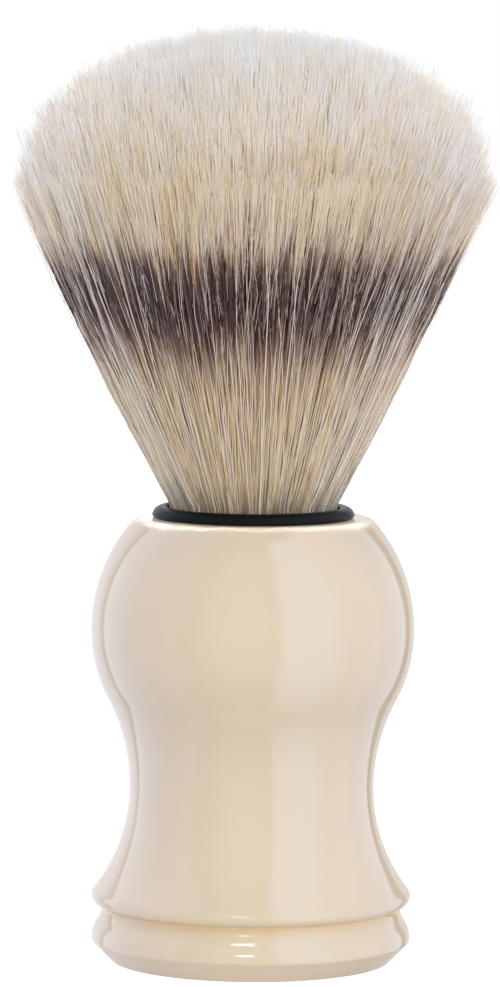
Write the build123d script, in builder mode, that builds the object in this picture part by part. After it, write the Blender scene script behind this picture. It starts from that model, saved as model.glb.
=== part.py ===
from build123d import *
import math
import os

# Shaving brush standing upright on its foot, in mm. +Z is up and z = 0 is the table.

# Handle outline, as radius and height of its turning points
handle_top_z = 50.85
bulb_r = 18.5
bulb_z = 38.0
bulb_upper_radius = 19.0
rim_radius = 1.4
waist_r = 14.0
waist_z = 19.9
waist_upper_radius = 21.5
waist_lower_radius = 19.0
bead_r = 18.3
bead_z = 7.45
bead_lower_radius = 1.05
groove_r = 17.2

# Inside of the handle
socket_r = 11.0
socket_floor_z = 35.0
core_r = 11.3
core_top_z = 30.0
core_edge = 0.4

# Foot cap under the handle
joint_z = 5.92
foot_bead_r = 18.3
foot_bead_z = 2.55
foot_bead_radius = 3.4
ridge_turn = 28.0
ridge_radius = 0.6
base_r = 16.0
standing_rim_inner_r = 12.5
standing_recess = 0.5
recess_edge = 0.2
spigot_r = 11.25
spigot_top_z = 13.0
spigot_edge = 0.4
cup_r = 9.3
cup_floor_z = 2.4
glue_groove_zs = (8.0, 10.5)
glue_groove_height = 1.0
glue_groove_depth = 0.5

# Ballast and cement inside the foot
slug_r = 9.2
slug_height = 9.0
slug_edge = 0.5
cement_gap = 0.02

# Ferrule that holds the knot
ferrule_skirt_r = 10.85
ferrule_bore_r = 9.9
ferrule_base_z = 36.0
ferrule_floor = 1.0
lip_r = 11.55
lip_widest_z = 51.15
lip_under_r = 11.35
lip_shoulder_r = 11.3
lip_shoulder_z = 51.72
lip_crown_r = 10.7
lip_top_z = 52.1
lip_inner_edge = 0.25
knot_cement_r = 10.9

# Glued root of the knot, with the thread that ties it
plug_r = 9.75
plug_top_z = 44.5
plug_waist_r = 8.9
plug_waist_low_z = 39.5
plug_waist_high_z = 43.5
thread_r = 0.36
thread_pitch = 0.8
thread_turns = 4
thread_gap = 0.03

# Bristles, which spread as a fan and end in a dome
slice_height = 2.0
root_z = 45.5
root_r = 9.3
fan_start_z = 52.4
fan_start_r = 9.6
fan_slope = 0.548
fan_curve = 0.0018
dome_z = 90.7
dome_r = 26.65
dome_rise = 15.8
ring_count = 11
strand_root_width = 0.5
strand_flare_width = 1.5
strand_taper_width = 1.2
strand_tip_width = 0.22
flare_share = 0.62
taper_share = 0.9
tip_variation = 0.9
golden_angle = 137.5
settling_steps = 60


def tangent_turn(out_r, out_z, in_r, in_z):
    """Angle, and sum of radii, of two tangent arcs that are both upright where they start and end."""
    rise = abs(in_z - out_z)
    turn = 2 * math.atan((out_r - in_r) / rise)
    return math.degrees(turn), rise / math.sin(turn)


def fan_radius(z):
    """Radius of the bundle of bristles at a height."""
    climb = z - fan_start_z
    return fan_start_r + fan_slope * climb - fan_curve * climb**2


def dome_height(r):
    """Height of the trimmed dome at a radius."""
    return dome_z + dome_rise * math.sqrt(max(0.0, 1 - (r / dome_r) ** 2))


def tip_height(share):
    """Height where a bristle at this share of the fan's radius reaches the dome."""
    height = dome_z
    for _ in range(settling_steps):
        reached = dome_height(share * fan_radius(height))
        height = (height + reached) / 2
    return height


# Handle body: outside outline from the joint up to the rim, then the socket wall and floor
lower_turn, lower_radii = tangent_turn(bead_r, bead_z, waist_r, waist_z)
upper_turn, upper_radii = tangent_turn(bulb_r, bulb_z, waist_r, waist_z)
bulb_turn = math.degrees(
    math.asin((handle_top_z - rim_radius - bulb_z) / (bulb_upper_radius - rim_radius))
)
under_turn, under_radii = tangent_turn(bead_r, bead_z, groove_r, joint_z)

with BuildPart() as handle_body:
    with BuildSketch(Plane.XZ):
        with BuildLine():
            under = JernArc((bead_r, bead_z), (0, -1), bead_lower_radius, -under_turn)
            cove = JernArc(under @ 1, under % 1, under_radii - bead_lower_radius, under_turn)
            bead = JernArc((bead_r, bead_z), (0, 1), lower_radii - waist_lower_radius, lower_turn)
            waist_low = JernArc(bead @ 1, bead % 1, waist_lower_radius, -lower_turn)
            waist_high = JernArc(waist_low @ 1, waist_low % 1, waist_upper_radius, -upper_turn)
            bulb_low = JernArc(
                waist_high @ 1, waist_high % 1, upper_radii - waist_upper_radius, upper_turn
            )
            bulb_high = JernArc(bulb_low @ 1, bulb_low % 1, bulb_upper_radius, bulb_turn)
            rim = JernArc(bulb_high @ 1, bulb_high % 1, rim_radius, 90 - bulb_turn)
            Polyline(
                rim @ 1,
                (socket_r, handle_top_z),
                (socket_r, socket_floor_z),
                (0, socket_floor_z),
                (0, core_top_z),
                (core_r, core_top_z),
                (core_r, joint_z),
                cove @ 1,
            )
        make_face()
    revolve(axis=Axis.Z)
    core_mouth = handle_body.edges().filter_by(GeomType.CIRCLE).group_by(Axis.Z)[0]
    chamfer(core_mouth.sort_by(SortBy.RADIUS)[0], core_edge)
handle_body.part.label = "handle_body"


# Foot cap: lower bead, chamfered base and the cup that plugs into the handle
foot_turn, foot_radii = tangent_turn(foot_bead_r, foot_bead_z, groove_r, joint_z)

with BuildPart() as foot_cap:
    with BuildSketch(Plane.XZ):
        with BuildLine():
            foot_bead = JernArc((foot_bead_r, foot_bead_z), (0, 1), foot_bead_radius, foot_turn)
            foot_cove = JernArc(
                foot_bead @ 1, foot_bead % 1, foot_radii - foot_bead_radius, -foot_turn
            )
            ridge = JernArc((foot_bead_r, foot_bead_z), (0, -1), ridge_radius, -ridge_turn)
            Polyline(
                ridge @ 1,
                (base_r, 0),
                (standing_rim_inner_r, 0),
                (standing_rim_inner_r, standing_recess),
                (0, standing_recess),
                (0, cup_floor_z),
                (cup_r, cup_floor_z),
                (cup_r, spigot_top_z),
                (spigot_r, spigot_top_z),
                (spigot_r, joint_z),
                foot_cove @ 1,
            )
        make_face()
    revolve(axis=Axis.Z)
    spigot_end = foot_cap.edges().filter_by(GeomType.CIRCLE).group_by(Axis.Z)[-1]
    chamfer(spigot_end.sort_by(SortBy.RADIUS)[-1], spigot_edge)
    recess_mouth = foot_cap.edges().filter_by(GeomType.CIRCLE).group_by(Axis.Z)[0]
    chamfer(recess_mouth.sort_by(SortBy.RADIUS)[0], recess_edge)
    for groove_z in glue_groove_zs:
        with BuildSketch(Plane.XY.offset(groove_z)):
            Circle(spigot_r)
            Circle(spigot_r - glue_groove_depth, mode=Mode.SUBTRACT)
        extrude(amount=glue_groove_height, mode=Mode.SUBTRACT)
foot_cap.part.label = "foot_cap"


# Rings of cement left in the grooves of the spigot
with BuildPart() as foot_cement:
    for groove_z in glue_groove_zs:
        with BuildSketch(Plane.XY.offset(groove_z + cement_gap)):
            Circle(core_r - cement_gap)
            Circle(spigot_r - glue_groove_depth + cement_gap, mode=Mode.SUBTRACT)
        extrude(amount=glue_groove_height - 2 * cement_gap)
foot_cement.part.label = "foot_cement"


# Steel slug that weighs the foot down
with BuildPart() as ballast_slug:
    with BuildSketch(Plane.XY.offset(cup_floor_z)):
        Circle(slug_r)
    extrude(amount=slug_height)
    chamfer(ballast_slug.edges().filter_by(GeomType.CIRCLE), slug_edge)
ballast_slug.part.label = "ballast_slug"


# Ferrule: a thin cup with a rounded lip that rests on the rim of the handle
with BuildPart() as knot_ferrule:
    with BuildSketch(Plane.XZ):
        with BuildLine():
            lip_side = Line((lip_under_r, handle_top_z), (lip_r, lip_widest_z))
            lip_round = ThreePointArc(
                lip_side @ 1, (lip_shoulder_r, lip_shoulder_z), (lip_crown_r, lip_top_z)
            )
            lip_flat = Line(
                lip_round @ 1, (ferrule_bore_r + lip_inner_edge, lip_top_z)
            )
            lip_inside = RadiusArc(
                lip_flat @ 1, (ferrule_bore_r, lip_top_z - lip_inner_edge), -lip_inner_edge
            )
            Polyline(
                lip_inside @ 1,
                (ferrule_bore_r, ferrule_base_z + ferrule_floor),
                (0, ferrule_base_z + ferrule_floor),
                (0, ferrule_base_z),
                (ferrule_skirt_r, ferrule_base_z),
                (ferrule_skirt_r, handle_top_z),
                (lip_under_r, handle_top_z),
            )
        make_face()
    revolve(axis=Axis.Z)
knot_ferrule.part.label = "knot_ferrule"


# Bed of cement between the ferrule and the floor of the socket
with BuildPart() as knot_cement:
    with BuildSketch(Plane.XY.offset(socket_floor_z)):
        Circle(knot_cement_r)
    extrude(amount=ferrule_base_z - socket_floor_z)
knot_cement.part.label = "knot_cement"


# Root plug: the glued foot of the knot, necked in where it is tied
with BuildPart() as root_plug:
    with BuildSketch(Plane.XY.offset(ferrule_base_z + ferrule_floor)):
        Circle(plug_r)
    extrude(amount=plug_top_z - ferrule_base_z - ferrule_floor)
    with BuildSketch(Plane.XY.offset(plug_waist_low_z)):
        Circle(plug_r)
        Circle(plug_waist_r, mode=Mode.SUBTRACT)
    extrude(amount=plug_waist_high_z - plug_waist_low_z, mode=Mode.SUBTRACT)
root_plug.part.label = "root_plug"


# Thread wound round the neck of the plug
winding_r = plug_waist_r + thread_r + thread_gap
winding_z = (plug_waist_low_z + plug_waist_high_z - thread_turns * thread_pitch) / 2

with BuildPart() as root_binding:
    with BuildLine():
        coil = Helix(thread_pitch, thread_turns * thread_pitch, winding_r, center=(0, 0, winding_z))
    with BuildSketch(Plane(origin=coil @ 0, z_dir=coil % 0)):
        Circle(thread_r)
    sweep(path=coil, is_frenet=True)
root_binding.part.label = "root_binding"


def strand(share, angle, tip_z):
    """One tuft of bristle: a four-sided rod that leans outward, widens with the fan and tapers to its tip."""
    free_length = tip_z - fan_start_z
    flare_z = fan_start_z + flare_share * free_length
    taper_z = fan_start_z + taper_share * free_length
    stations = (
        (root_z, root_r, strand_root_width),
        (fan_start_z, fan_start_r, strand_root_width),
        (flare_z, fan_radius(flare_z), strand_flare_width),
        (taper_z, fan_radius(taper_z), strand_taper_width),
        (tip_z, fan_radius(tip_z), strand_tip_width),
    )
    with BuildPart() as rod:
        for height, fan_edge_r, width in stations:
            centre_r = share * (fan_edge_r - width / 2)
            centre = Vector(centre_r, 0, height).rotate(Axis.Z, angle)
            outward = Vector(1, 0, 0).rotate(Axis.Z, angle)
            with BuildSketch(Plane(origin=centre, x_dir=outward, z_dir=(0, 0, 1))):
                Rectangle(width, width)
        loft(ruled=True)
    return rod.part


# Bristle knot: rings of strands standing in a slice of the glued root
strands = [strand(0, 0, dome_height(0))]
for ring in range(1, ring_count + 1):
    share = ring / ring_count
    in_ring = 6 * ring
    phase = golden_angle * (ring_count - ring)
    for place in range(in_ring):
        angle = phase + 360 * place / in_ring
        trim = tip_variation * (1 - share**4) * math.sin(golden_angle * (place + ring)) ** 2
        strands.append(strand(share, angle, tip_height(share) - trim))

with BuildPart() as bristle_knot:
    with BuildSketch(Plane.XY.offset(plug_top_z)):
        Circle(plug_r)
    extrude(amount=slice_height)
    add(strands)
bristle_knot.part.label = "bristle_knot"


os.makedirs("parts", exist_ok=True)
export_step(handle_body.part, "parts/handle_body.step")
export_step(foot_cap.part, "parts/foot_cap.step")
export_step(foot_cement.part, "parts/foot_cement.step")
export_step(ballast_slug.part, "parts/ballast_slug.step")
export_step(knot_ferrule.part, "parts/knot_ferrule.step")
export_step(knot_cement.part, "parts/knot_cement.step")
export_step(root_plug.part, "parts/root_plug.step")
export_step(root_binding.part, "parts/root_binding.step")
export_step(bristle_knot.part, "parts/bristle_knot.step")
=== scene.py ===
import math

import bpy
import numpy as np
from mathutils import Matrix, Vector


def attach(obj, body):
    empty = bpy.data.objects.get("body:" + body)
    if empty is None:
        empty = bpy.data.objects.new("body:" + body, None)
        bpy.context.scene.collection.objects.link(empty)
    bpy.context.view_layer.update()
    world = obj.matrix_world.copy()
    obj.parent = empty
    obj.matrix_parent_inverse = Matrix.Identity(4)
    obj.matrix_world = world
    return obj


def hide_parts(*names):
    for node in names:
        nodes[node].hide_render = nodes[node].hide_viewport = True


# Shaving brush on a pale table. The brush, the camera and the spots that lamps aim at are given in
# millimetres. The table, the panels and the distances of the lamps are in metres, as Blender works.
MM = 0.001
MM_IN_METRE = 1000.0

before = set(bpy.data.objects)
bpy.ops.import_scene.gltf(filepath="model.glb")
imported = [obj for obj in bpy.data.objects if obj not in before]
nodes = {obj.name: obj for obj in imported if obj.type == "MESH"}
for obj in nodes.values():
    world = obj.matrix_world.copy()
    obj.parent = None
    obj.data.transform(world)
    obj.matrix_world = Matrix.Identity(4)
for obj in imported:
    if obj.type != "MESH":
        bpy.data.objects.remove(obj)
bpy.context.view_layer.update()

# ---------------------------------------------------------------- camera
# The photograph was taken with a long lens from a little above the bristles.
IMAGE_HEIGHT = 987
PIXELS_PER_SLOPE = 5565
CAMERA_DISTANCE = 632.0
CAMERA_HEIGHT = 109.2
CAMERA_LEFT = 0.41
CAMERA_TILT = math.radians(5.033)
CAMERA_ROLL = math.radians(0.44)
SENSOR = 36.0


def place_camera():
    lens = bpy.data.cameras.new("camera")
    lens.sensor_width = SENSOR
    lens.lens = SENSOR * PIXELS_PER_SLOPE / IMAGE_HEIGHT
    camera = bpy.data.objects.new("camera", lens)
    camera.location = (-CAMERA_LEFT * MM, -CAMERA_DISTANCE * MM, CAMERA_HEIGHT * MM)
    camera.rotation_mode = "ZYX"
    camera.rotation_euler = (math.pi / 2 - CAMERA_TILT, 0, CAMERA_ROLL)
    bpy.context.scene.collection.objects.link(camera)
    bpy.context.scene.camera = camera


place_camera()


# ---------------------------------------------------------------- node helpers
def add_node(tree, kind, **values):
    """A new node; values are its properties, or the defaults of its input sockets."""
    node = tree.nodes.new(kind)
    for name, value in values.items():
        if name.startswith("in_"):
            key = name[3:]
            key = int(key) if key.isdigit() else key.replace("_", " ")
            node.inputs[key].default_value = value
        else:
            setattr(node, name, value)
    return node


def maths(tree, operation, first, second=None, third=None):
    """A Math node whose inputs are sockets or numbers. Returns its output."""
    node = add_node(tree, "ShaderNodeMath", operation=operation)
    for place, value in enumerate((first, second, third)):
        if value is None:
            continue
        if isinstance(value, (int, float)):
            node.inputs[place].default_value = value
        else:
            tree.links.new(value, node.inputs[place])
    return node.outputs[0]


def ramp(tree, factor, stops, interpolation="LINEAR"):
    """A colour ramp over a socket; stops are (place, colour)."""
    node = add_node(tree, "ShaderNodeValToRGB")
    node.color_ramp.interpolation = interpolation
    elements = node.color_ramp.elements
    while len(elements) < len(stops):
        elements.new(0.5)
    for element, (place, colour) in zip(elements, stops):
        element.position = place
        element.color = (*colour, 1)
    tree.links.new(factor, node.inputs[0])
    return node.outputs[0]


def span(tree, value, low, high, out_low=0.0, out_high=1.0):
    """Maps a socket from one range to another, with its ends held."""
    node = add_node(tree, "ShaderNodeMapRange", in_1=low, in_2=high, in_3=out_low, in_4=out_high)
    tree.links.new(value, node.inputs[0])
    return node.outputs[0]


# The Mix node's sockets for colours, by number.
MIX_FACTOR, MIX_FIRST, MIX_SECOND, MIX_RESULT = 0, 6, 7, 2


def mix_colour(tree, factor, first, second, blend="MIX"):
    """Mixes two colours, each a socket or a tuple. Returns the node's output."""
    node = add_node(tree, "ShaderNodeMix", data_type="RGBA", blend_type=blend)
    for place, value in ((MIX_FACTOR, factor), (MIX_FIRST, first), (MIX_SECOND, second)):
        if isinstance(value, (int, float)):
            node.inputs[place].default_value = value
        elif isinstance(value, tuple):
            node.inputs[place].default_value = (*value, 1)
        else:
            tree.links.new(value, node.inputs[place])
    return node.outputs[MIX_RESULT]


def scale_colour(tree, colour, level):
    """Makes a colour lighter or darker by a number."""
    node = add_node(tree, "ShaderNodeVectorMath", operation="SCALE")
    tree.links.new(colour, node.inputs[0])
    tree.links.new(level, node.inputs["Scale"])
    return node.outputs[0]


def object_place(tree):
    """Where a point lies on its own object, in metres."""
    return add_node(tree, "ShaderNodeTexCoord").outputs["Object"]


def split_axes(tree, vector):
    """The three parts of a vector, as sockets."""
    node = add_node(tree, "ShaderNodeSeparateXYZ")
    tree.links.new(vector, node.inputs[0])
    return node.outputs[0], node.outputs[1], node.outputs[2]


def noise_at(tree, place, **values):
    """A noise texture that is read at this place."""
    node = add_node(tree, "ShaderNodeTexNoise", **values)
    tree.links.new(place, node.inputs["Vector"])
    return node


def srgb(red, green, blue):
    """A colour as read on screen, 0 to 255, as the linear values that shaders use."""

    def linear(channel):
        share = channel / 255
        return share / 12.92 if share <= 0.04045 else ((share + 0.055) / 1.055) ** 2.4

    return tuple(linear(channel) for channel in (red, green, blue))


NUMBER, COLOUR = "NodeSocketFloat", "NodeSocketColor"


def new_group(name, inputs, outputs):
    """A shader node group with named inputs (name, kind, default) and outputs (name, kind)."""
    tree = bpy.data.node_groups.new(name, "ShaderNodeTree")
    for label, kind, default in inputs:
        socket = tree.interface.new_socket(label, in_out="INPUT", socket_type=kind)
        socket.default_value = default
    for label, kind in outputs:
        tree.interface.new_socket(label, in_out="OUTPUT", socket_type=kind)
    entry = tree.nodes.new("NodeGroupInput")
    exit_node = tree.nodes.new("NodeGroupOutput")
    return tree, entry.outputs, exit_node.inputs


def place_group(tree, group, **values):
    """A group placed in a material, with its own values."""
    node = add_node(tree, "ShaderNodeGroup", node_tree=group)
    for name, value in values.items():
        node.inputs[name.replace("_", " ")].default_value = value
    return node


def new_material(name):
    material = bpy.data.materials.new(name)
    material.use_nodes = True
    tree = material.node_tree
    shader = tree.nodes["Principled BSDF"]
    return material, tree, shader


def surface(tree, shader, colour, roughness):
    tree.links.new(colour, shader.inputs["Base Color"])
    tree.links.new(roughness, shader.inputs["Roughness"])


def bump(tree, shader, height, strength, distance_mm):
    node = add_node(tree, "ShaderNodeBump", in_Strength=strength, in_Distance=distance_mm * MM)
    tree.links.new(height, node.inputs["Height"])
    tree.links.new(node.outputs["Normal"], shader.inputs["Normal"])


# ---------------------------------------------------------------- shared effects
SMEARS_PER_METRE, SPECKS_PER_METRE = 140.0, 2600.0
SMEAR_STARTS, SMEAR_FULL = 0.45, 0.7


def make_mottle():
    """Slow, faint changes of tone, as in cast resin, cement or glue."""
    tree, given, made = new_group(
        "mottle",
        [("Colour", COLOUR, (0.5, 0.5, 0.5, 1)), ("Strength", NUMBER, 0.1), ("Size mm", NUMBER, 5.0)],
        [("Colour", COLOUR)],
    )
    noise = noise_at(tree, object_place(tree), in_Detail=4.0, in_Roughness=0.6)
    tree.links.new(maths(tree, "DIVIDE", MM_IN_METRE, given["Size mm"]), noise.inputs["Scale"])
    swing = maths(tree, "SUBTRACT", noise.outputs["Fac"], 0.5)
    level = maths(tree, "MULTIPLY_ADD", swing, given["Strength"], 1.0)
    tree.links.new(scale_colour(tree, given["Colour"], level), made["Colour"])
    return tree


def make_handling():
    """Faint smears and fine specks from handling: a roughness, and a height for bump."""
    tree, given, made = new_group(
        "handling",
        [("Roughness", NUMBER, 0.1), ("Smear", NUMBER, 0.05), ("Speck", NUMBER, 0.3)],
        [("Roughness", NUMBER), ("Height", NUMBER)],
    )
    place = object_place(tree)
    smear = noise_at(tree, place, in_Scale=SMEARS_PER_METRE, in_Detail=3.0)
    speck = noise_at(tree, place, in_Scale=SPECKS_PER_METRE, in_Detail=2.0)
    smeared = span(tree, smear.outputs["Fac"], SMEAR_STARTS, SMEAR_FULL)
    rough = maths(tree, "MULTIPLY_ADD", smeared, given["Smear"], given["Roughness"])
    tree.links.new(rough, made["Roughness"])
    tree.links.new(maths(tree, "MULTIPLY", speck.outputs["Fac"], given["Speck"]), made["Height"])
    return tree


def make_turning():
    """Fine rings left by a turning tool, round the upright axis: a height for bump."""
    tree, given, made = new_group(
        "turning", [("Lines per mm", NUMBER, 6.0)], [("Height", NUMBER)]
    )
    x, y, z = split_axes(tree, object_place(tree))
    radius = maths(tree, "SQRT", maths(tree, "MULTIPLY_ADD", y, y, maths(tree, "MULTIPLY", x, x)))
    walk = maths(tree, "ADD", radius, z)
    lines_per_metre = maths(tree, "MULTIPLY", given["Lines per mm"], MM_IN_METRE)
    position = add_node(tree, "ShaderNodeCombineXYZ")
    tree.links.new(maths(tree, "MULTIPLY", walk, lines_per_metre), position.inputs[0])
    noise = noise_at(tree, position.outputs[0], noise_dimensions="3D", in_Scale=1.0, in_Detail=3.0)
    tree.links.new(noise.outputs["Fac"], made["Height"])
    return tree


mottle = make_mottle()
handling = make_handling()
turning = make_turning()


# ---------------------------------------------------------------- resin of the handle and foot
CREAM = (0.717, 0.602, 0.443)
# The groove's colour is a painted glow, standing in for light that the resin scatters there.
GROOVE_GLOW_AMBER = (0.71, 0.525, 0.27)
GROOVE_GLOW_SHARE = 0.8
GROOVE_Z = 6.0
GROOVE_GLOW_FULL_WITHIN, GROOVE_GLOW_GONE_BEYOND = 0.1, 0.85
RIDGE_Z, RIDGE_BLEND = 2.28, 0.04
CHAMFER_COLOUR, CHAMFER_SHARE = (0.715, 0.6, 0.46), 0.7
CHAMFER_ROUGHER, CHAMFER_RELIEF = 0.28, 30.0


def cream_with_groove_glow(tree, height):
    """The resin's cream, with a painted glow of deeper colour in the groove over the foot, standing in for
    light scattered in the resin there.
    """
    tint = place_group(tree, mottle, Colour=(*CREAM, 1), Strength=0.05, Size_mm=9.0)
    from_groove = maths(tree, "ABSOLUTE", maths(tree, "SUBTRACT", height, GROOVE_Z * MM))
    groove_glow = span(tree, from_groove, GROOVE_GLOW_FULL_WITHIN * MM, GROOVE_GLOW_GONE_BEYOND * MM, GROOVE_GLOW_SHARE, 0.0)
    return mix_colour(tree, groove_glow, tint.outputs["Colour"], GROOVE_GLOW_AMBER)


def leave_chamfer_satin(tree, height, colour, roughness, relief):
    """Below the ridge the resin is greyer and rougher, and shows the lines of the turning tool."""
    low, high = (RIDGE_Z - RIDGE_BLEND) * MM, (RIDGE_Z + RIDGE_BLEND) * MM
    below_ridge = span(tree, height, low, high, 1.0, 0.0)
    lines = place_group(tree, turning, Lines_per_mm=5.0)
    roughness = maths(tree, "MULTIPLY_ADD", below_ridge, CHAMFER_ROUGHER, roughness)
    line_relief = maths(tree, "MULTIPLY", below_ridge, CHAMFER_RELIEF)
    relief = maths(tree, "MULTIPLY_ADD", line_relief, lines.outputs["Height"], relief)
    share = maths(tree, "MULTIPLY", below_ridge, CHAMFER_SHARE)
    return mix_colour(tree, share, colour, CHAMFER_COLOUR), roughness, relief


def cream_resin(name, chamfer):
    """Glossy cast resin, which is left satin on the foot's chamfer."""
    material, tree, shader = new_material(name)
    height = split_axes(tree, object_place(tree))[2]
    colour = cream_with_groove_glow(tree, height)
    marks = place_group(tree, handling, Roughness=0.06, Smear=0.03, Speck=0.4)
    roughness, relief = marks.outputs["Roughness"], marks.outputs["Height"]
    if chamfer:
        colour, roughness, relief = leave_chamfer_satin(tree, height, colour, roughness, relief)
    surface(tree, shader, colour, roughness)
    bump(tree, shader, relief, strength=0.15, distance_mm=0.002)
    return material


# ---------------------------------------------------------------- ferrule and hidden pieces
def black_ferrule():
    """Black plastic with hardly any gloss."""
    material, tree, shader = new_material("black_ferrule")
    tint = place_group(tree, mottle, Colour=(*srgb(21, 23, 23), 1), Strength=0.5, Size_mm=1.5)
    marks = place_group(tree, handling, Roughness=0.28, Smear=0.12, Speck=1.0)
    shader.inputs["Specular IOR Level"].default_value = 0.04
    surface(tree, shader, tint.outputs["Colour"], marks.outputs["Roughness"])
    bump(tree, shader, marks.outputs["Height"], strength=0.3, distance_mm=0.004)
    return material


def plain_cast(name, colour, rough, size_mm):
    """Cement or glue: matt, blotchy and slightly pitted."""
    material, tree, shader = new_material(name)
    tint = place_group(tree, mottle, Colour=(*colour, 1), Strength=0.5, Size_mm=size_mm)
    marks = place_group(tree, handling, Roughness=rough, Smear=0.15, Speck=1.0)
    surface(tree, shader, tint.outputs["Colour"], marks.outputs["Roughness"])
    bump(tree, shader, marks.outputs["Height"], strength=0.6, distance_mm=0.03)
    return material


def turned_steel():
    """Bare steel with the lines of the turning tool."""
    material, tree, shader = new_material("turned_steel")
    tint = place_group(tree, mottle, Colour=(0.5, 0.5, 0.5, 1), Strength=0.25, Size_mm=2.0)
    marks = place_group(tree, handling, Roughness=0.32, Smear=0.2, Speck=0.5)
    lines = place_group(tree, turning, Lines_per_mm=8.0)
    shader.inputs["Metallic"].default_value = 0.9
    surface(tree, shader, tint.outputs["Colour"], marks.outputs["Roughness"])
    bump(tree, shader, lines.outputs["Height"], strength=0.4, distance_mm=0.01)
    return material


def binding_thread():
    """Undyed, fuzzy thread."""
    material, tree, shader = new_material("binding_thread")
    tint = place_group(tree, mottle, Colour=(0.62, 0.57, 0.46, 1), Strength=0.6, Size_mm=0.4)
    marks = place_group(tree, handling, Roughness=0.8, Smear=0.1, Speck=1.0)
    surface(tree, shader, tint.outputs["Colour"], marks.outputs["Roughness"])
    bump(tree, shader, marks.outputs["Height"], strength=0.8, distance_mm=0.05)
    return material


def dress(node, material):
    data = nodes[node].data
    data.materials.clear()
    data.materials.append(material)


glue = plain_cast("knot_glue", (0.45, 0.31, 0.13), rough=0.4, size_mm=1.2)
cement = plain_cast("grey_cement", (0.5, 0.47, 0.4), rough=0.75, size_mm=0.8)
dress("handle_body", cream_resin("cream_resin", chamfer=False))
dress("foot_cap", cream_resin("cream_resin_foot", chamfer=True))
dress("knot_ferrule", black_ferrule())
dress("ballast_slug", turned_steel())
dress("foot_cement", cement)
dress("knot_cement", cement)
dress("root_plug", glue)
dress("root_binding", binding_thread())


# ---------------------------------------------------------------- colours of the bristles
# Each bristle is coloured by a chart: its column gives its own tone, and its height the dye and fading, and a
# painted shade just above the ferrule.
# Columns before PALE_FROM have the plain tone.
TONE_COLUMNS = 64
PALE_FROM, UNDYED_FROM, LILAC_FROM, BROWN_FROM = 34, 46, 54, 60
PLAIN = (1.0, 1.0, 1.0)
# The bluish white of the pale kind is partly a painted sheen, as many bristles at the left and right of the
# fan are given it.
PALE_AND_SHEEN_TINT = (0.99, 1.08, 1.33)
UNDYED = (0.99, 1.03, 1.13)
LILAC = (0.84, 0.77, 0.77)
BROWN = (0.80, 0.70, 0.58)
TINT_FADES_Z, TINT_LEFT = (91.0, 101.0), 0.6
WARMEST, COOLEST = (1.0, 0.955, 0.88), (0.99, 0.985, 0.96)
WASHED_OUT, WASHED_POWER = 0.35, 4.0
STREAK_STEP, STREAK_WAVES = 7.3, 24.0
# From which to which level of a streak, the bristle's tone and its roughness go from which to which.
STREAK_TONE = (0.25, 0.75, 0.97, 1.02)
STREAK_ROUGHNESS = (0.3, 0.7, 0.36, 0.5)
CHART_TOP_Z = 112.0
BAND_LOW_Z, BAND_HIGH_Z = 71.2, 81.2
DYED_CHART_WITH_SHADE = (
    # The two lowest stops are painted shade: the bristles darken just above the ferrule.
    (51.5, (138, 124, 103)),
    (53, (176, 160, 133)),
    (55, (209, 190, 158)),
    (62, (229, 210, 177)),
    (BAND_LOW_Z - 3.0, (228, 206, 172)),
    (BAND_LOW_Z - 0.4, (160, 128, 110)),
    (BAND_LOW_Z + 1.6, (92, 52, 44)),
    (BAND_LOW_Z + 3.6, (66, 33, 29)),
    (BAND_HIGH_Z - 1.8, (70, 35, 31)),
    (BAND_HIGH_Z - 0.4, (152, 110, 92)),
    (BAND_HIGH_Z + 1.6, (249, 232, 203)),
    (90, (242, 227, 201)),
    (97, (251, 243, 230)),
    (104, (252, 251, 249)),
)
UNDYED_CHART_WITH_SHADE = (
    # The lowest stop is painted shade: the bristles darken just above the ferrule.
    (51.5, (172, 161, 146)),
    (55, (232, 219, 202)),
    (72, (238, 225, 212)),
    (90, (243, 237, 230)),
    (104, (250, 248, 246)),
)


def chart_stops(chart):
    return [(z / CHART_TOP_Z, srgb(*colour)) for z, colour in chart]


def column_stop(first_column):
    """The place on a ramp just before this column."""
    return (first_column - 0.5) / TONE_COLUMNS


def dye(tree, share, height, draws):
    """The chart's colour. Some kinds of bristle hold no dye, and in others it is partly washed out."""
    dyed = ramp(tree, height, chart_stops(DYED_CHART_WITH_SHADE))
    undyed = ramp(tree, height, chart_stops(UNDYED_CHART_WITH_SHADE))
    black, white = (0, 0, 0), (1, 1, 1)
    stops = [(0.0, black), (column_stop(UNDYED_FROM), white), (column_stop(BROWN_FROM), black)]
    without = ramp(tree, share, stops, "CONSTANT")
    numbers = add_node(tree, "ShaderNodeSeparateColor")
    tree.links.new(draws.outputs["Color"], numbers.inputs[0])
    washed = maths(tree, "POWER", numbers.outputs[1], WASHED_POWER)
    washed = maths(tree, "MULTIPLY", washed, WASHED_OUT)
    return mix_colour(tree, maths(tree, "MAXIMUM", without, washed), dyed, undyed)


def kind_tint(tree, share, height):
    """The tint of each kind of bristle, which fades towards the dome."""
    kinds = ((PALE_FROM, PALE_AND_SHEEN_TINT), (UNDYED_FROM, UNDYED), (LILAC_FROM, LILAC), (BROWN_FROM, BROWN))
    stops = [(0.0, PLAIN)] + [(column_stop(first), tint) for first, tint in kinds]
    tint = ramp(tree, share, stops, "CONSTANT")
    low, high = (z / CHART_TOP_Z for z in TINT_FADES_Z)
    return mix_colour(tree, span(tree, height, low, high, 1.0, TINT_LEFT), PLAIN, tint)


def streaks(tree, column, height):
    """Faint changes of tone along each bristle, as the output of a noise."""
    place = add_node(tree, "ShaderNodeCombineXYZ")
    tree.links.new(maths(tree, "MULTIPLY", column, STREAK_STEP), place.inputs[0])
    tree.links.new(maths(tree, "MULTIPLY", height, STREAK_WAVES), place.inputs[1])
    return noise_at(tree, place.outputs[0], in_Scale=1.0, in_Detail=3.0).outputs["Fac"]


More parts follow.
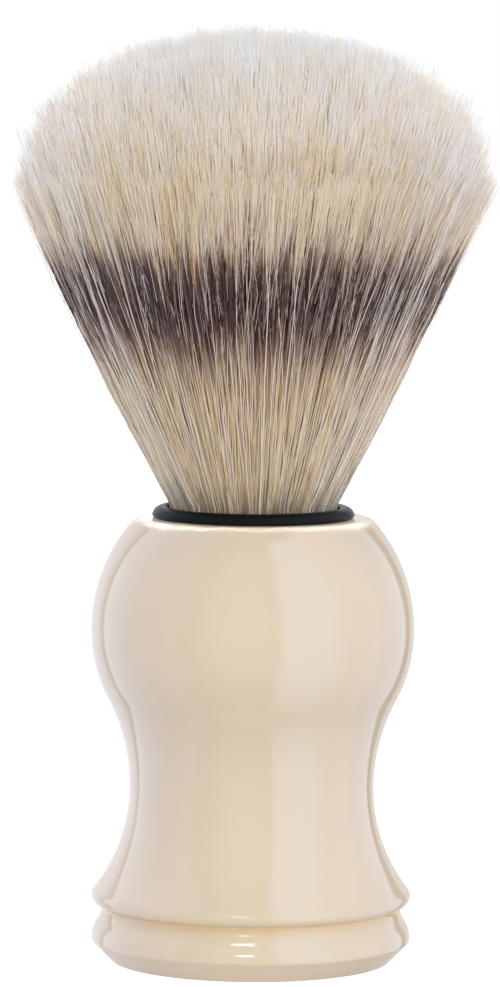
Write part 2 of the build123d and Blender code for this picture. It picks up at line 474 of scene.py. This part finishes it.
def bristle_material():
    material, tree, shader = new_material("bristle")
    chart = add_node(tree, "ShaderNodeUVMap", uv_map="OFBake")
    across, height, _ = split_axes(tree, chart.outputs[0])
    column = maths(tree, "FLOOR", maths(tree, "MULTIPLY", across, TONE_COLUMNS))
    share = maths(tree, "DIVIDE", column, TONE_COLUMNS)
    draws = add_node(tree, "ShaderNodeTexWhiteNoise", noise_dimensions="1D")
    tree.links.new(column, draws.inputs["W"])
    colour = dye(tree, share, height, draws)
    colour = mix_colour(tree, 1.0, colour, kind_tint(tree, share, height), "MULTIPLY")
    warmth = mix_colour(tree, draws.outputs["Value"], WARMEST, COOLEST)
    colour = mix_colour(tree, 1.0, colour, warmth, "MULTIPLY")
    streak = streaks(tree, column, height)
    colour = scale_colour(tree, colour, span(tree, streak, *STREAK_TONE))
    surface(tree, shader, colour, span(tree, streak, *STREAK_ROUGHNESS))
    shader.inputs["Sheen Weight"].default_value = 0.12
    shader.inputs["Sheen Roughness"].default_value = 0.4
    shader.inputs["Specular IOR Level"].default_value = 0.4
    return material


# ---------------------------------------------------------------- form of the knot
# The fan and dome have the sizes of the solids in the part.
ROOT_Z, ROOT_R = 45.5, 9.3
FAN_START_Z, FAN_START_R = 52.4, 9.6
FAN_SLOPE, FAN_CURVE = 0.548, 0.0018
DOME_Z, DOME_R, DOME_RISE = 90.7, 26.65, 15.8
TIP_STEPS = 60
SIDES = 4
# How far a bristle's corners reach within its column of the tone chart.
COLUMN_REACH = 0.3
CHART_EDGE = 0.01
GOLDEN_ANGLE = math.radians(137.508)
NOTHING = 1e-6
SEED = 20
random = np.random.default_rng(SEED)


def fan_radius(z):
    climb = np.maximum(z - FAN_START_Z, 0)
    fan = FAN_START_R + FAN_SLOPE * climb - FAN_CURVE * climb**2
    socket = ROOT_R + (FAN_START_R - ROOT_R) * (z - ROOT_Z) / (FAN_START_Z - ROOT_Z)
    return np.where(z < FAN_START_Z, socket, fan)


def dome_height(r):
    return DOME_Z + DOME_RISE * np.sqrt(np.maximum(0, 1 - (r / DOME_R) ** 2))


def tip_height(share):
    """Height where a bristle at this share of the fan's radius reaches the trimmed dome."""
    height = np.full_like(share, DOME_Z)
    for _ in range(TIP_STEPS):
        height = (height + dome_height(share * fan_radius(height))) / 2
    return height


def soft_step(value, low, high):
    t = np.clip((value - low) / (high - low), 0, 1)
    return t * t * (3 - 2 * t)


class Tuft:
    """Bristles as closed four-sided tubes in one mesh, with their places in the tone chart."""

    def __init__(self):
        self.corners, self.walls, self.ends, self.chart = [], [], [], []
        self.count = 0

    def add(self, paths, radii, columns, chart_z, facing):
        """paths (n, m, 3), radii (n, m), columns (n,), chart_z (n, m), facing (n,): n tubes of m stations."""
        n, m = radii.shape
        turn = facing[:, None] + (np.arange(SIDES) + 0.5) * 2 * math.pi / SIDES
        ring = np.stack([np.cos(turn), np.sin(turn), np.zeros_like(turn)], -1)
        corners = paths[:, :, None, :] + radii[:, :, None, None] * ring[:, None]
        index = self.count + np.arange(n * m * SIDES).reshape(n, m, SIDES)
        following = np.roll(index, -1, axis=2)
        walls = [index[:, :-1], following[:, :-1], following[:, 1:], index[:, 1:]]
        within = COLUMN_REACH * np.sin(np.arange(SIDES) * math.pi / 2)
        u = (columns[:, None] + 0.5 + within) / TONE_COLUMNS
        u = np.broadcast_to(u[:, None, :], (n, m, SIDES))
        v = np.clip(chart_z / CHART_TOP_Z, CHART_EDGE, 1 - CHART_EDGE)
        v = np.broadcast_to(v[:, :, None], (n, m, SIDES))
        self.corners.append(corners.reshape(-1, 3))
        self.chart.append(np.stack([u, v], -1).reshape(-1, 2))
        self.walls.append(np.stack(walls, -1).reshape(-1, 4))
        self.ends.append(np.concatenate([index[:, 0, ::-1], index[:, -1, :]]))
        self.count += n * m * SIDES

    def make(self, name, material):
        """Makes the piece, which takes the place of the solid knot."""
        corners = np.concatenate(self.corners) * MM
        chart = np.concatenate(self.chart)
        walls = np.concatenate(self.walls)
        ends = np.concatenate(self.ends)
        loops = np.concatenate([walls.ravel(), ends.ravel()])
        sizes = np.concatenate([np.full(len(walls), 4), np.full(len(ends), SIDES)])
        starts = np.concatenate([[0], np.cumsum(sizes)[:-1]])
        mesh = bpy.data.meshes.new(name)
        mesh.vertices.add(len(corners))
        mesh.vertices.foreach_set("co", corners.astype(np.float32).ravel())
        mesh.loops.add(len(loops))
        mesh.loops.foreach_set("vertex_index", loops.astype(np.int32))
        mesh.polygons.add(len(sizes))
        mesh.polygons.foreach_set("loop_start", starts.astype(np.int32))
        mesh.polygons.foreach_set("use_smooth", np.ones(len(sizes), bool))
        mesh.update(calc_edges=True)
        layer = mesh.uv_layers.new(name="OFBake")
        layer.data.foreach_set("uv", chart[loops].astype(np.float32).ravel())
        mesh.materials.append(material)
        piece = bpy.data.objects.new(name, mesh)
        bpy.context.scene.collection.objects.link(piece)
        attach(piece, "root")
        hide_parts("bristle_knot")
        return piece


# ---------------------------------------------------------------- course of a bristle
WAVE_LENGTH = (6, 14)
WAVE_FADES_IN = 6
SWELL, SWELL_EASE = 4, 0.6
LEAN, LEAN_ENDS = 0.3, 0.85


def bristle_points(root, tip, bow, wave, height):
    """Points of bristles at these heights (n, m), for plan places (n, 2) as shares of the fan's radius."""
    top = DOME_Z + DOME_RISE
    climb = np.clip((height - FAN_START_Z) / (top - FAN_START_Z), 0, 1)
    plan = root[:, None] + (tip - root)[:, None] * climb[:, :, None]
    plan = plan * fan_radius(height)[:, :, None]
    swell = SWELL * climb * (1 - SWELL_EASE * climb)
    phase = wave[:, 1, None] * 2 * math.pi
    ripple = wave[:, 0, None] * np.sin(phase + 2 * math.pi * height / wave[:, 2, None])
    ripple = ripple * np.minimum(1, climb * WAVE_FADES_IN)
    heading = wave[:, 3, None] * 2 * math.pi
    plan = plan + bow[:, None] * swell[:, :, None]
    plan[:, :, 0] -= LEAN * np.sin(math.pi * np.minimum(climb / LEAN_ENDS, 1)) ** 2
    plan[:, :, 0] += ripple * np.cos(heading)
    plan[:, :, 1] += ripple * np.sin(heading)
    return np.concatenate([plan, height[:, :, None]], -1)


def stem_heights(top, stations):
    """Heights (n, m) from the root, through the ring, up to each top; and how far along each is."""
    free = FAN_START_Z + (top[:, None] - FAN_START_Z) * stations
    height = np.concatenate([np.full((len(top), 1), ROOT_Z), free], 1)
    return height, np.concatenate([[0.0], stations])


def random_waves(count, size):
    """Size, phase, length and heading of each bristle's wave."""
    return np.stack(
        [
            np.abs(random.normal(0, size, count)),
            random.random(count),
            random.uniform(*WAVE_LENGTH, count),
            random.random(count),
        ],
        -1,
    )


def keep_inside(place, most):
    """Pulls plan places that drifted past this share of the radius back to it."""
    reach = np.linalg.norm(place, axis=-1, keepdims=True)
    return place * np.minimum(1, most / np.maximum(reach, NOTHING))


def tone_columns(count, undyed, lilac, brown):
    """A column of the tone chart for each bristle, with these shares of the three odd kinds."""
    kind = random.random(count)
    columns = random.integers(0, UNDYED_FROM, count)
    bounds = np.cumsum([undyed, lilac, brown])
    kinds = ((UNDYED_FROM, LILAC_FROM), (LILAC_FROM, BROWN_FROM), (BROWN_FROM, TONE_COLUMNS))
    for place, (low, high) in enumerate(kinds):
        start = bounds[place - 1] if place else 0
        chosen = (kind >= start) & (kind < bounds[place])
        columns = np.where(chosen, random.integers(low, high, count), columns)
    return columns


def sunflower(count):
    """Even places over a disc of radius 1, as (count, 2)."""
    order = np.arange(count)
    reach = np.sqrt((order + 0.5) / count)
    angle = order * GOLDEN_ANGLE
    return np.stack([reach * np.cos(angle), reach * np.sin(angle)], -1)


# ---------------------------------------------------------------- bristles that split at their tips
BRISTLES = 10400
SECTORS = 10
BRISTLE_R, STEM_TAPER, STEM_THINS = 0.082, 0.45, (0.3, 1.0)
SPLIT_R, TIP_R = 0.036, 0.025
THICKNESS = (0.78, 1.18)
ROOT_JITTER, ROOT_REACH, TIP_REACH = 0.6, 0.995, 0.93
STRAIGHT_DRIFT, CROSSING_DRIFT, CROSSING_SHARE = 1.1, 3.6, 0.18
BOW, WAVE = 0.6, 0.10
HELD_BEYOND, HELD_SHARE = 0.85, 0.85
FLAG_LENGTH = (8.0, 18.0)
STEM_STATIONS = np.array([0.0, 0.1, 0.24, 0.42, 0.6, 0.8, 1.0])
TWIG_STATIONS = np.array([0.0, 0.55, 1.0])
TWIGS = 5
TWIG_UNEVEN, TWIG_SPREAD, TWIG_PULL, TWIG_CURL = 0.5, 0.42, 0.5, 1.4
FACING_SPREAD = 0.25

# Bristles lean to common points at their tips, and each such group is trimmed and dyed alike.
TIP_GROUPS = 900
GROUP_UNEVEN = 0.2
TIP_UNEVEN, SHORTER_SHARE, SHORTER_BY = 0.55, 0.22, 7
TIP_LIFT, SHOULDER_TRIM, SHOULDER = 0.3, 1.2, (0.3, 0.9)
GROUP_DYE_SPREAD, OWN_DYE_SPREAD = 1.0, 1.6

# More bristles are pale or undyed at the left and right of the fan, a painted sheen of the light from the
# sides, and there the dye starts lower.
ODD_SHARES = (0.03, 0.03, 0.03)
SIDEWAYS, OUTERMOST = (0.5, 0.97), (0.7, 0.9)
PALE_SHARE, PALE_FOR_SIDE_SHEEN, UNDYED_FOR_SIDE_SHEEN = 0.06, 0.88, 0.42
DYE_SAG, SAG_Z = 1.6, (73, 78)


def place_bristles():
    """Root and tip places of the bristles, as shares of the fan's radius."""
    spacing = 1 / math.sqrt(BRISTLES)
    root = sunflower(BRISTLES) + random.normal(0, ROOT_JITTER * spacing, (BRISTLES, 2))
    root = keep_inside(root, ROOT_REACH)
    crossing = random.random(BRISTLES) < CROSSING_SHARE
    drift = np.where(crossing, CROSSING_DRIFT, STRAIGHT_DRIFT)[:, None] / DOME_R
    tip = root + random.normal(0, 1, (BRISTLES, 2)) * drift
    reach = np.linalg.norm(root, axis=-1)
    return root, keep_inside(tip, np.maximum(reach, TIP_REACH)[:, None]), reach


def random_bows(root, reach):
    """Bows of the bristles. The outer ones hardly bow outward."""
    bow = random.normal(0, BOW, (BRISTLES, 2))
    outward = root / np.maximum(reach, NOTHING)[:, None]
    escape = np.maximum((bow * outward).sum(-1), 0)
    held = np.where(reach > HELD_BEYOND, HELD_SHARE * escape, 0)
    return bow - held[:, None] * outward


def trim_tips(tip, group):
    """Heights of the tips: on the dome, though a little uneven, and some are much shorter."""
    short = np.abs(random.normal(0, TIP_UNEVEN, BRISTLES))
    shorter = random.random(BRISTLES) < SHORTER_SHARE
    short = short + np.where(shorter, random.uniform(0, SHORTER_BY, BRISTLES), 0)
    reach = np.linalg.norm(tip, axis=-1)
    shoulder = soft_step(reach, *SHOULDER)
    uneven = GROUP_UNEVEN + GROUP_UNEVEN * shoulder
    short = short + random.normal(0, 1, TIP_GROUPS)[group] * uneven
    return tip_height(reach) - short + TIP_LIFT - SHOULDER_TRIM * shoulder


def pick_tones(root, reach):
    """A column of the tone chart for each bristle, and how far at the left or right of the fan it is. At the
    left and right, more bristles are made pale or undyed, as a painted sheen.
    """
    columns = tone_columns(BRISTLES, *ODD_SHARES)
    sideways = soft_step(np.abs(root[:, 0]) / np.maximum(reach, NOTHING), *SIDEWAYS)
    side = sideways * soft_step(reach, *OUTERMOST)
    # At the left and right, the pale and undyed bristles are a painted sheen of the side light.
    pale = (random.random(BRISTLES) < PALE_SHARE + PALE_FOR_SIDE_SHEEN * side) & (columns < UNDYED_FROM)
    columns = np.where(pale, PALE_FROM + columns % (UNDYED_FROM - PALE_FROM), columns)
    sheen_undyed = random.random(BRISTLES) < UNDYED_FOR_SIDE_SHEEN * side
    columns = np.where(sheen_undyed, UNDYED_FROM + columns % (LILAC_FROM - UNDYED_FROM), columns)
    return columns, side


def grow_bristles(material):
    """All bristles: stems that split into twigs, in one piece for each sector of the fan."""
    root, tip, reach = place_bristles()
    gather = sunflower(TIP_GROUPS)
    group = np.argmin(((tip[:, None] - gather[None]) ** 2).sum(-1), axis=1)
    pull = (gather[group] - tip) * DOME_R
    bow = random_bows(root, reach)
    wave = random_waves(BRISTLES, WAVE)
    tip_z = trim_tips(tip, group)
    split_z = tip_z - random.uniform(*FLAG_LENGTH, BRISTLES)
    columns, side = pick_tones(root, reach)
    dye_shift = random.normal(0, GROUP_DYE_SPREAD, TIP_GROUPS)[group]
    dye_shift = dye_shift + random.normal(0, OWN_DYE_SPREAD, BRISTLES)
    thick = random.uniform(*THICKNESS, BRISTLES)
    angle = np.arctan2(root[:, 1], root[:, 0])
    sector = ((angle / (2 * math.pi) + 0.5) * SECTORS).astype(int) % SECTORS
    facing = angle + random.normal(0, FACING_SPREAD, BRISTLES)

    def dyed_at(height, rows):
        """The height on the tone chart that gives these bristles their colour at these heights."""
        sag = DYE_SAG * side[rows, None] * soft_step(height, *SAG_Z)
        return height + dye_shift[rows, None] + sag

    for number in range(SECTORS):
        rows = np.flatnonzero(sector == number)
        tuft = Tuft()
        height, along = stem_heights(split_z[rows], STEM_STATIONS)
        stems = bristle_points(root[rows], tip[rows], bow[rows], wave[rows], height)
        radii = BRISTLE_R * thick[rows, None] * (1 - STEM_TAPER * soft_step(along, *STEM_THINS))
        tuft.add(stems, radii, columns[rows], dyed_at(height, rows), facing[rows])
        for _ in range(TWIGS):
            top = tip_z[rows] - np.abs(random.normal(0, TWIG_UNEVEN, len(rows)))
            height = split_z[rows, None] + (top - split_z[rows])[:, None] * TWIG_STATIONS
            twigs = bristle_points(root[rows], tip[rows], bow[rows], wave[rows], height)
            pulled = pull[rows] * random.uniform(0, TWIG_PULL, (len(rows), 1))
            spread = random.normal(0, TWIG_SPREAD, (len(rows), 2)) + pulled
            twigs[:, :, :2] += spread[:, None] * (TWIG_STATIONS**TWIG_CURL)[None, :, None]
            radii = thick[rows, None] * (SPLIT_R + (TIP_R - SPLIT_R) * TWIG_STATIONS)
            tuft.add(twigs, radii, columns[rows], dyed_at(height, rows), facing[rows])
        tuft.make(f"bristle_lock_{number + 1}", material)


# ---------------------------------------------------------------- loose bristles and wisps
LOOSE, STRAY, WISPS = 240, 90, 3600
LOOSE_STATIONS = np.linspace(0, 1, 13)
LOOSE_REACH, LOOSE_SWING, LOOSE_BOW = (0.965, 0.99), 0.26, 0.35
STRAY_REACH, STRAY_SWING, STRAY_BOW = (0.97, 1.008), 0.2, 0.3
LOOSE_WAVE, LOOSE_BELOW_DOME = 0.2, (0.5, 20)
LOOSE_THICKNESS, LOOSE_TAPER = (0.5, 0.85), 0.6
WISP_STATIONS = np.linspace(0, 1, 6)
WISP_R, WISP_THICKNESS, WISP_TAPER = 0.036, (0.8, 1.2), 0.35
WISP_REACH, WISP_SWING, WISP_BOW, WISP_WAVE = (0.94, 0.995), 0.42, 0.4, 0.12
WISP_BELOW_DOME, WISP_SPREAD, WISP_LENGTH = 0.5, 7.0, (5, 14)


def loose_places(count, low, high, swing):
    """Angles, and root and tip places near the side of the fan, for bristles that lie over the others."""
    angle = random.uniform(0, 2 * math.pi, count)
    swung = angle + random.normal(0, swing, count)
    root = np.stack([np.cos(angle), np.sin(angle)], -1) * random.uniform(low, high, (count, 1))
    tip = np.stack([np.cos(swung), np.sin(swung)], -1) * random.uniform(low, high, (count, 1))
    return angle, root, tip


def grow_loose_bristles(material):
    """Single bristles that lie over the others, mostly undyed, and strays that stand off the sides."""
    tuft = Tuft()
    loose_columns = tone_columns(LOOSE, undyed=0.7, lilac=0.25, brown=0.02)
    stray_columns = tone_columns(STRAY, undyed=0.4, lilac=0.2, brown=0.1)
    for count, reach, swing, sway, columns in (
        (LOOSE, LOOSE_REACH, LOOSE_SWING, LOOSE_BOW, loose_columns),
        (STRAY, STRAY_REACH, STRAY_SWING, STRAY_BOW, stray_columns),
    ):
        angle, root, tip = loose_places(count, *reach, swing)
        bow = random.normal(0, sway, (count, 2))
        wave = random_waves(count, LOOSE_WAVE)
        tip_z = tip_height(np.ones(count)) - random.uniform(*LOOSE_BELOW_DOME, count)
        height, along = stem_heights(tip_z, LOOSE_STATIONS)
        points = bristle_points(root, tip, bow, wave, height)
        radii = BRISTLE_R * random.uniform(*LOOSE_THICKNESS, (count, 1)) * (1 - LOOSE_TAPER * along**3)
        tuft.add(points, radii, columns, height, angle)
    tuft.make("loose_bristles", material)


def grow_wisps(material):
    """Fine ends, some of them undyed, that lie over the upper half of the fan."""
    tuft = Tuft()
    angle, root, tip = loose_places(WISPS, *WISP_REACH, WISP_SWING)
    bow = random.normal(0, WISP_BOW, (WISPS, 2))
    wave = random_waves(WISPS, WISP_WAVE)
    tip_z = tip_height(np.ones(WISPS)) - WISP_BELOW_DOME - np.abs(random.normal(0, WISP_SPREAD, WISPS))
    length = random.uniform(*WISP_LENGTH, WISPS)
    height = tip_z[:, None] - length[:, None] * (1 - WISP_STATIONS)
    points = bristle_points(root, tip, bow, wave, height)
    radii = WISP_R * random.uniform(*WISP_THICKNESS, (WISPS, 1)) * (1 - WISP_TAPER * WISP_STATIONS)
    columns = tone_columns(WISPS, undyed=0.2, lilac=0.1, brown=0.02)
    tuft.add(points, radii, columns, height, angle)
    tuft.make("bristle_wisps", material)


bristle = bristle_material()
grow_bristles(bristle)
grow_loose_bristles(bristle)
grow_wisps(bristle)


# ---------------------------------------------------------------- table and background
TABLE_SIZE = 6.0
TABLE_GAP = 0.02
TABLE_GREY = (0.5, 0.5, 0.5)
TABLE_LIFT_FOR_CAMERA = (0.93, 0.93, 0.93)
TABLE_LIFT_FOR_LIGHT = (0.25, 0.25, 0.25)
BACKGROUND_FOR_CAMERA = (1.0, 1.0, 1.0)
BACKGROUND_FOR_LIGHT = (0.12, 0.12, 0.12)


def seen_directly(tree):
    """1 for rays from the camera, from gloss and through glass, and 0 for those that only carry light."""
    rays = add_node(tree, "ShaderNodeLightPath")
    direct = maths(tree, "MAXIMUM", rays.outputs["Is Camera Ray"], rays.outputs["Is Glossy Ray"])
    return maths(tree, "MAXIMUM", direct, rays.outputs["Is Transmission Ray"])


def flat_square(name, size, height):
    """A level square face, in metres."""
    half = size / 2
    corners = [(-half, -half), (half, -half), (half, half), (-half, half)]
    mesh = bpy.data.meshes.new(name)
    mesh.from_pydata([(x, y, height) for x, y in corners], [], [(0, 1, 2, 3)])
    return mesh


def lay_table():
    """A pale table a hair's breadth under the foot, which keeps the brush's shadow."""
    mesh = flat_square("table", TABLE_SIZE, -TABLE_GAP * MM)
    material, tree, shader = new_material("pale_table")
    tint = place_group(tree, mottle, Colour=(*TABLE_GREY, 1), Strength=0.01, Size_mm=80.0)
    tree.links.new(tint.outputs["Colour"], shader.inputs["Base Color"])
    shader.inputs["Roughness"].default_value = 0.9
    shader.inputs["Specular IOR Level"].default_value = 0.0
    lift = mix_colour(tree, seen_directly(tree), TABLE_LIFT_FOR_LIGHT, TABLE_LIFT_FOR_CAMERA)
    tree.links.new(lift, shader.inputs["Emission Color"])
    shader.inputs["Emission Strength"].default_value = 1.0
    mesh.materials.append(material)
    table = bpy.data.objects.new("table", mesh)
    table.visible_glossy = False
    bpy.context.scene.collection.objects.link(table)


def build_background():
    world = bpy.data.worlds.new("studio")
    world.use_nodes = True
    bpy.context.scene.world = world
    tree = world.node_tree
    tree.nodes.clear()
    colour = mix_colour(tree, seen_directly(tree), BACKGROUND_FOR_LIGHT, BACKGROUND_FOR_CAMERA)
    background = add_node(tree, "ShaderNodeBackground", in_Strength=1.0)
    tree.links.new(colour, background.inputs["Color"])
    output = add_node(tree, "ShaderNodeOutputWorld")
    tree.links.new(background.outputs[0], output.inputs[0])


# ---------------------------------------------------------------- panels that only gloss shows
# Panels stand in a ring round the brush: compass angle from the camera, to the right as positive, and
# brightness. Between two angles the brightness changes evenly.
PANELS = (
    (-180, (1.2, 1.25, 1.3)),
    (-160, (1.15, 1.18, 1.35)),
    (-151, (1.28, 1.33, 1.6)),
    (-144, (1.35, 1.42, 1.85)),
    (-138, (1.25, 1.25, 1.65)),
    (-135.5, (1.05, 1.05, 1.35)),
    (-134, (0.5, 0.55, 0.8)),
    (-132, (0.6, 0.7, 0.9)),
    (-129.5, (2.1, 2.15, 2.65)),
    (-119, (1.85, 2.1, 3.05)),
    (-104, (1.7, 1.85, 2.9)),
    (-85, (1.6, 1.5, 2.4)),
    (-60, (1.5, 1.35, 1.95)),
    (-46, (0.85, 0.75, 0.85)),
    (-10, (1.25, 1.1, 1.2)),
    (17, (1.1, 0.9, 0.8)),
    (23, (2.3, 2.5, 3.3)),
    (58, (3.1, 3.3, 4.25)),
    (66, (2.9, 2.9, 3.3)),
    (80, (3.0, 2.75, 3.0)),
    (97, (3.0, 2.65, 3.1)),
    (115, (2.0, 2.05, 2.5)),
    (134, (1.6, 1.65, 2.15)),
    (137.5, (1.75, 1.8, 2.2)),
    (140.5, (0.45, 0.4, 0.5)),
    (146, (0.4, 0.3, 0.25)),
    (149, (0.55, 0.42, 0.4)),
    (152, (1.0, 0.88, 0.9)),
    (157, (1.0, 0.92, 1.0)),
    (166, (0.86, 0.86, 0.85)),
)
PANEL_DISTANCE, PANEL_LOW, PANEL_HIGH = 1.1, -1.6, 2.5
PANEL_DIM_FROM, PANEL_DIM_SHARE = -0.4, 0.5
PANEL_STEPS = 180
CEILING_HEIGHT, CEILING_SIZE, CEILING_GLOW = 1.5, 0.68, 4.5


def stand_for_gloss(mesh, material, shader):
    """Puts a panel in the studio that only gloss shows."""
    shader.inputs["Base Color"].default_value = (0, 0, 0, 1)
    shader.inputs["Specular IOR Level"].default_value = 0.0
    # Gloss finds such large panels by itself, and the render's search for light stays with the lamps.
    material.cycles.emission_sampling = "NONE"
    mesh.materials.append(material)
    panel = bpy.data.objects.new(mesh.name, mesh)
    for use in ("camera", "diffuse", "transmission", "volume_scatter", "shadow"):
        setattr(panel, f"visible_{use}", False)
    bpy.context.scene.collection.objects.link(panel)


def panel_ring():
    """The mesh of the panels, as an upright ring."""
    turns = np.radians(np.linspace(-180, 180, PANEL_STEPS + 1))
    foot = np.stack([np.sin(turns), -np.cos(turns)], -1) * PANEL_DISTANCE
    low = np.column_stack([foot, np.full(len(turns), PANEL_LOW)])
    high = np.column_stack([foot, np.full(len(turns), PANEL_HIGH)])
    faces = [(i, i + 1, i + 2 + PANEL_STEPS, i + 1 + PANEL_STEPS) for i in range(PANEL_STEPS)]
    mesh = bpy.data.meshes.new("light_panels")
    mesh.from_pydata([tuple(point) for point in np.concatenate([low, high])], [], faces)
    return mesh


def stand_panels():
    """Panels whose brightness follows the compass angle, dimmer towards their lower edge."""
    material, tree, shader = new_material("light_panels")
    x, y, z = split_axes(tree, object_place(tree))
    compass = maths(tree, "ARCTAN2", x, maths(tree, "MULTIPLY", y, -1.0))
    most = max(max(colour) for _, colour in PANELS)
    stops = [((turn + 180) / 360, tuple(level / most for level in colour)) for turn, colour in PANELS]
    glow = ramp(tree, span(tree, compass, -math.pi, math.pi), stops)
    dim = span(tree, z, PANEL_LOW, PANEL_DIM_FROM, PANEL_DIM_SHARE, 1.0)
    glow = mix_colour(tree, dim, (0.0, 0.0, 0.0), glow)
    tree.links.new(glow, shader.inputs["Emission Color"])
    shader.inputs["Emission Strength"].default_value = most
    stand_for_gloss(panel_ring(), material, shader)


def hang_ceiling():
    """A square panel overhead, which the rim and the top of each bead reflect."""
    material, _, shader = new_material("light_ceiling")
    shader.inputs["Emission Color"].default_value = (1, 1, 1, 1)
    shader.inputs["Emission Strength"].default_value = CEILING_GLOW
    stand_for_gloss(flat_square("light_ceiling", CEILING_SIZE, CEILING_HEIGHT), material, shader)


# ---------------------------------------------------------------- lamps
# Lamps stand by compass angle and height angle, in degrees, round AIM. The three numbers of a size are
# distance, width and depth.
AIM = Vector((0, 0, 40 * MM))
RIM_LAMP_COLOUR = (0.93, 0.96, 1.0)
GLINT_SIZES = (40 * MM, 12.5 * MM, 6 * MM)
GLINT_RADIANCE = 10.0
BEAD_SPOT, FOOT_LOW_SPOT, FOOT_HIGH_SPOT = (-1, -18.2, 7.9), (-1, -18.2, 0.8), (-1, -17.5, 4.8)
STRIP_SIZES = (180 * MM, 26 * MM, 0.6 * MM)
STRIP_SPOT, STRIP_BEAM = (0, -9, 51.75), 1
STRIP_RADIANCE = 38.0
STRIP_COLOUR = (0.8, 0.95, 1.2)


def hang_lamp(name, compass, height, distance, width, depth, radiance, colour=(1, 1, 1), glossy=False):
    """An area lamp that faces the brush."""
    light = bpy.data.lights.new(name, "AREA")
    light.shape = "RECTANGLE"
    light.size, light.size_y = width, depth
    light.energy = radiance * math.pi * width * depth
    light.color = colour
    lamp = bpy.data.objects.new(name, light)
    turn, rise = math.radians(compass), math.radians(height)
    out = Vector((math.sin(turn) * math.cos(rise), -math.cos(turn) * math.cos(rise), math.sin(rise)))
    lamp.location = AIM + out * distance
    lamp.rotation_mode = "QUATERNION"
    lamp.rotation_quaternion = out.to_track_quat("Z", "Y")
    lamp.visible_glossy = glossy
    lamp.visible_camera = False
    bpy.context.scene.collection.objects.link(lamp)
    return lamp


def light_only(lamp, node):
    """Keeps a lamp to this node, and lets nothing else stand in its way."""
    group = bpy.data.collections.new(lamp.name + "_lights")
    group.objects.link(nodes[node])
    lamp.light_linking.receiver_collection = group
    lamp.light_linking.blocker_collection = group


def hang_glint(name, node, spot, compass, height, strength, beam):
    """A small lamp close to a spot (mm) on a node, with a narrow beam, which only that node's gloss shows."""
    half = math.radians(beam) / 2
    kept = 1 - half / math.tan(half)
    lamp = hang_lamp(name, compass, height, *GLINT_SIZES, GLINT_RADIANCE * strength * kept, glossy=True)
    lamp.location += Vector(spot) * MM - AIM
    lamp.data.spread = math.radians(beam)
    lamp.visible_diffuse = False
    light_only(lamp, node)


def hang_rim_strip():
    """A thin strip whose beam grazes the top edge of the handle, under the ferrule."""
    lamp = hang_lamp("rim_strip", 0, 3, *STRIP_SIZES, STRIP_RADIANCE, STRIP_COLOUR)
    lamp.location += Vector(STRIP_SPOT) * MM - AIM
    lamp.data.spread = math.radians(STRIP_BEAM)
    light_only(lamp, "handle_body")


def hang_rim_lamp(name, compass):
    """A lamp behind the brush, for the edge on its side."""
    sizes = {"distance": 1.6, "width": 1.2, "depth": 0.5}
    hang_lamp(name, compass, height=10, **sizes, radiance=9.5, colour=RIM_LAMP_COLOUR)


lay_table()
build_background()
stand_panels()
hang_ceiling()
hang_lamp("key_lamp", compass=4, height=8, distance=1.6, width=0.6, depth=0.5, radiance=14.3)
hang_lamp("high_lamp", compass=-5, height=62, distance=1.6, width=1.5, depth=1.3, radiance=1.8)
hang_rim_lamp("left_rim_lamp", compass=-135)
hang_rim_lamp("right_rim_lamp", compass=135)
hang_glint("bead_glint", "handle_body", BEAD_SPOT, compass=-5.2, height=18, strength=1.6, beam=21)
hang_glint("foot_low_glint", "foot_cap", FOOT_LOW_SPOT, compass=-4.3, height=19, strength=2.5, beam=17)
hang_glint("foot_high_glint", "foot_cap", FOOT_HIGH_SPOT, compass=-7.0, height=57, strength=1.5, beam=28)
hang_rim_strip()

bpy.context.scene.view_settings.view_transform = "Standard"
